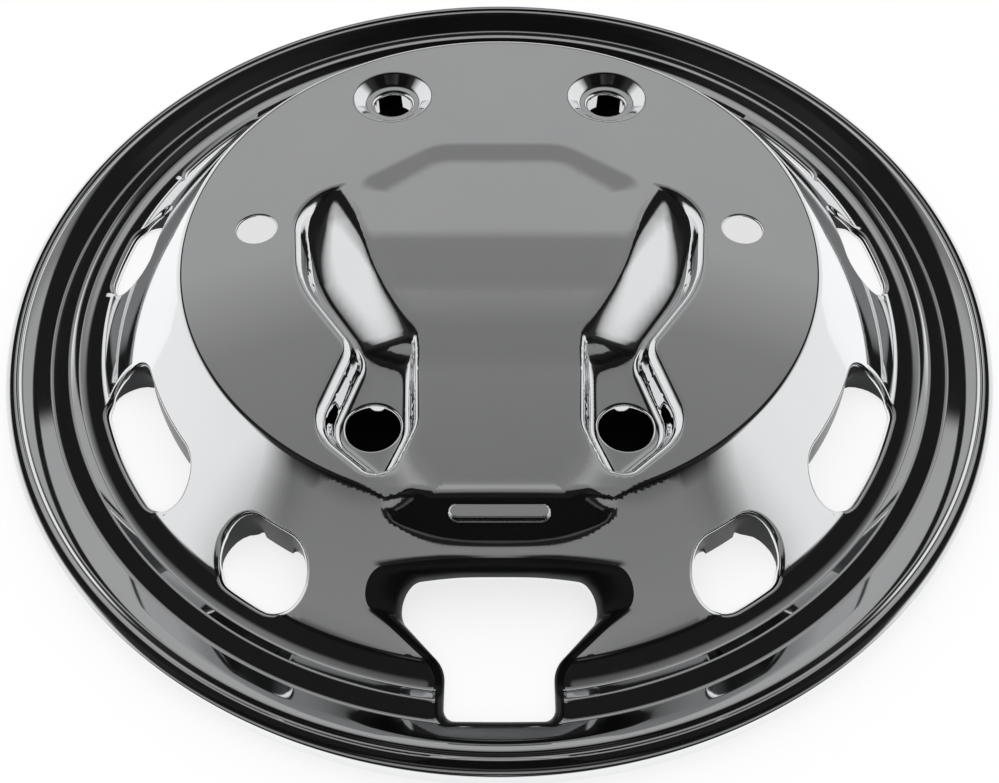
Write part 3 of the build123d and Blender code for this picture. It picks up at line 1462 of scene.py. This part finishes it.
@dataclass(frozen=True)
class StudioSky:
    """Soft light round the cover, shaded by direction: a pale horizon that darkens overhead.

    Three ramps of greys run by the sine of the elevation: behind the cover, beside it and in front. The one
    beside shifts towards the front, and the one in front towards the sides. Over them lies a dark ring,
    measured in slopes from the zenith round a middle that lies behind the cover.
    """

    behind: tuple[Point, ...] = (
        (0.00, 0.90),
        (0.12, 0.80),
        (0.26, 0.37),
        (0.70, 0.34),
        (0.76, 0.215),
        (0.88, 0.18),
        (0.95, 0.004),
    )
    front: tuple[Point, ...] = (
        (0.00, 0.60),
        (0.06, 0.02),
        (0.30, 0.01),
        (0.40, 0.26),
        (0.50, 0.23),
        (0.66, 0.20),
        (0.71, 0.015),
        (1.00, 0.003),
    )
    beside: tuple[Point, ...] = ((0.00, 0.86), (0.60, 0.80), (0.68, 0.45), (0.76, 0.03), (1.00, 0.005))
    beside_span: Point = (0.34, 0.44)
    front_span: Point = (-0.20, -0.60)
    front_fall: float = 0.8
    front_rise: float = 0.32
    dark: Colour = grey(0.01)
    dark_middle: float = 1.017
    dark_inner: Point = (0.49, 0.53)
    dark_outer: Point = (0.78, 0.71)
    dark_stretch: float = 0.2
    high_start: float = 0.7
    high_spread: float = 0.8
    ambient: float = 0.95

    def build(self) -> None:
        """Make the world: white to the camera, this sky in the metal and an even soft light elsewhere."""
        world = bpy.data.worlds.new("studio_sky")
        bpy.context.scene.world = world
        world.use_nodes = True
        graph = Graph(world.node_tree)
        direction = graph.add("ShaderNodeTexCoord").out("Generated")
        parts = graph.add("ShaderNodeSeparateXYZ", {}, {0: direction})
        up, depth = parts.out("Z"), parts.out("Y")
        across = graph.add("ShaderNodeMath", {"operation": "ABSOLUTE"}, {0: parts.out("X")})
        high = positive(up - self.high_start)
        nearer = positive(0.0 - depth)
        behind, beside, front = (
            graph.add("ShaderNodeValToRGB", {"stops": ramp}, {"Fac": level})
            for ramp, level in (
                (self.behind, up),
                (self.beside, up + nearer * self.front_fall),
                (self.front, up + across * self.front_rise),
            )
        )
        sideways = soft_share(across + high * self.high_spread, *self.beside_span)
        ahead = soft_share(depth, *self.front_span)
        slant, fall = across / up, depth / up - self.dark_middle
        fall = fall + positive(0.0 - fall) * self.dark_stretch
        spread = slant * slant + fall * fall
        inner, outer = (
            soft_share(spread, start**2, end**2) for start, end in (self.dark_inner, self.dark_outer)
        )
        sky = behind
        for share, colour in ((sideways, beside), (ahead, front), (inner * outer, self.dark)):
            sky = mixed_colour(share, sky, colour)
        path = graph.add("ShaderNodeLightPath")
        soft = graph.add("ShaderNodeBackground", {}, {"Color": grey(1.0), "Strength": self.ambient})
        seen = graph.add("ShaderNodeBackground", {}, {"Color": grey(1.0), "Strength": 1.0})
        mirrored = graph.add("ShaderNodeBackground", {}, {"Color": sky, "Strength": 1.0})
        light = graph.add("ShaderNodeMixShader", {}, {0: path.out("Is Glossy Ray"), 1: soft, 2: mirrored})
        light = graph.add("ShaderNodeMixShader", {}, {0: path.out("Is Camera Ray"), 1: light, 2: seen})
        graph.add("ShaderNodeOutputWorld", {}, {"Surface": light})


@dataclass(frozen=True)
class Studio:
    """Pale floor, soft light and the camera at the photograph's angle."""

    sky: StudioSky = field(default_factory=StudioSky)
    floor_half: float = 3.0
    floor_level: float = -0.0002
    floor_glow: float = 0.72
    # Where and how dark the floor is painted in reflections towards the front: a painted dark reflection.
    painted_front_dark_span: Point = (-0.24, -0.27)
    floor_grey: float = 0.90
    painted_front_dark_grey: float = 0.01
    # Black discs of painted shade under the raised face and the collars.
    centre_shade_disc_radius: float = 0.118
    collar_pad: Point = (0.0620, 0.1360)
    collar_pad_radius: float = 0.0135
    pad_height: float = 0.0004
    painted_shade_grey: float = 0.004
    lamp_height: float = 1.6
    lamp_size: float = 1.4
    lamp_power: float = 6.0
    camera_place: tuple[float, float, float] = (0.0, -0.3038, 0.3418)
    camera_pitch: float = 54.6
    camera_nearest: float = 0.01
    focal_pixels: float = 918.0

    def build(self) -> None:
        """Set the stage."""
        self.sky.build()
        self._floor()
        self._shades()
        self._lamp()
        self._camera()
        bpy.context.scene.view_settings.view_transform = "Standard"

    def _stage(self, name: str, points: list, material: bpy.types.Material) -> None:
        """Add a flat piece of the stage.

        Args:
            name: Its name.
            points: Its corners, anticlockwise from above.
            material: Its finish.
        """
        mesh = bpy.data.meshes.new(name)
        mesh.from_pydata(points, [], [tuple(range(len(points)))])
        mesh.materials.append(material)
        add_object(name, mesh)

    def _floor(self) -> None:
        """Lay the pale floor, which keeps a soft shadow; towards the front it shows black in the metal only,
        a painted dark reflection.
        """
        material, graph = new_material("pale_floor")
        path = graph.add("ShaderNodeLightPath")
        place = graph.add("ShaderNodeTexCoord").out("Object")
        depth = graph.add("ShaderNodeSeparateXYZ", {}, {0: place}).out("Y")
        # Painted dark reflection: towards the front the floor is black in glossy rays only.
        front = soft_share(depth, *self.painted_front_dark_span)
        mirrored = path.out("Is Glossy Ray")
        seen = path.out("Is Camera Ray") + mirrored
        painted_front_dark_share = mirrored * front
        matt = graph.add("ShaderNodeBsdfDiffuse", {}, {"Color": grey(self.floor_grey)})
        glow = graph.add("ShaderNodeEmission", {}, {"Color": grey(1.0)})
        pale = graph.add("ShaderNodeMixShader", {}, {0: seen * self.floor_glow, 1: matt, 2: glow})
        shade = graph.add("ShaderNodeEmission", {}, {"Color": grey(self.painted_front_dark_grey)})
        mixed = graph.add("ShaderNodeMixShader", {}, {0: painted_front_dark_share, 1: pale, 2: shade})
        graph.add("ShaderNodeOutputMaterial", {}, {"Surface": mixed})
        half, level = self.floor_half, self.floor_level
        corners = [(-half, -half, level), (half, -half, level), (half, half, level), (-half, half, level)]
        self._stage("floor", corners, material)

    def _shades(self) -> None:
        """Lay black discs under the raised face and the collars: painted shade for the floor in shadow under
        the cover.
        """
        material, graph = new_material("painted_shade_finish")
        matt = graph.add("ShaderNodeBsdfDiffuse", {}, {"Color": grey(self.painted_shade_grey)})
        graph.add("ShaderNodeOutputMaterial", {}, {"Surface": matt})
        across, ahead = self.collar_pad
        pads = [(0.0, 0.0, self.centre_shade_disc_radius)]
        pads += [(half.value * across, ahead, self.collar_pad_radius) for half in Half]
        # Each disc is painted shade, seen through the holes.
        for number, (centre_x, centre_y, radius) in enumerate(pads):
            edge = round_edge((centre_x, centre_y), radius)
            points = [(x, y, self.pad_height) for x, y in edge.tolist()]
            self._stage(f"painted_shade_disc_{number}", points, material)

    def _lamp(self) -> None:
        """Hang a broad soft lamp overhead, unseen in the metal."""
        lamp = bpy.data.lights.new("soft_lamp", "AREA")
        lamp.size = self.lamp_size
        lamp.energy = self.lamp_power
        holder = add_object("soft_lamp", lamp)
        holder.location = (0.0, 0.0, self.lamp_height)
        holder.visible_glossy = False

    def _camera(self) -> None:
        """Set the camera above the keyhole side, looking down at the cover."""
        camera = bpy.data.cameras.new("photo_camera")
        camera.sensor_width = SENSOR_WIDTH
        camera.lens = SENSOR_WIDTH * self.focal_pixels / PHOTO_WIDTH
        camera.clip_start = self.camera_nearest
        holder = add_object("photo_camera", camera)
        holder.location = self.camera_place
        holder.rotation_euler = (radians(90.0 - self.camera_pitch), 0.0, 0.0)
        bpy.context.scene.camera = holder


def main() -> None:
    """Build the cover and its studio."""
    logging.basicConfig(level=logging.INFO, format="%(message)s")
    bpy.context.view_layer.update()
    sheet = PressedSheet()
    piece = sheet.build()
    sheet.dress(piece)
    triangles = sum(len(face.vertices) - 2 for face in piece.data.polygons)
    log.info("piece %s has %d triangles", piece.name, triangles)
    Studio().build()


if __name__ == "__main__":
    main()
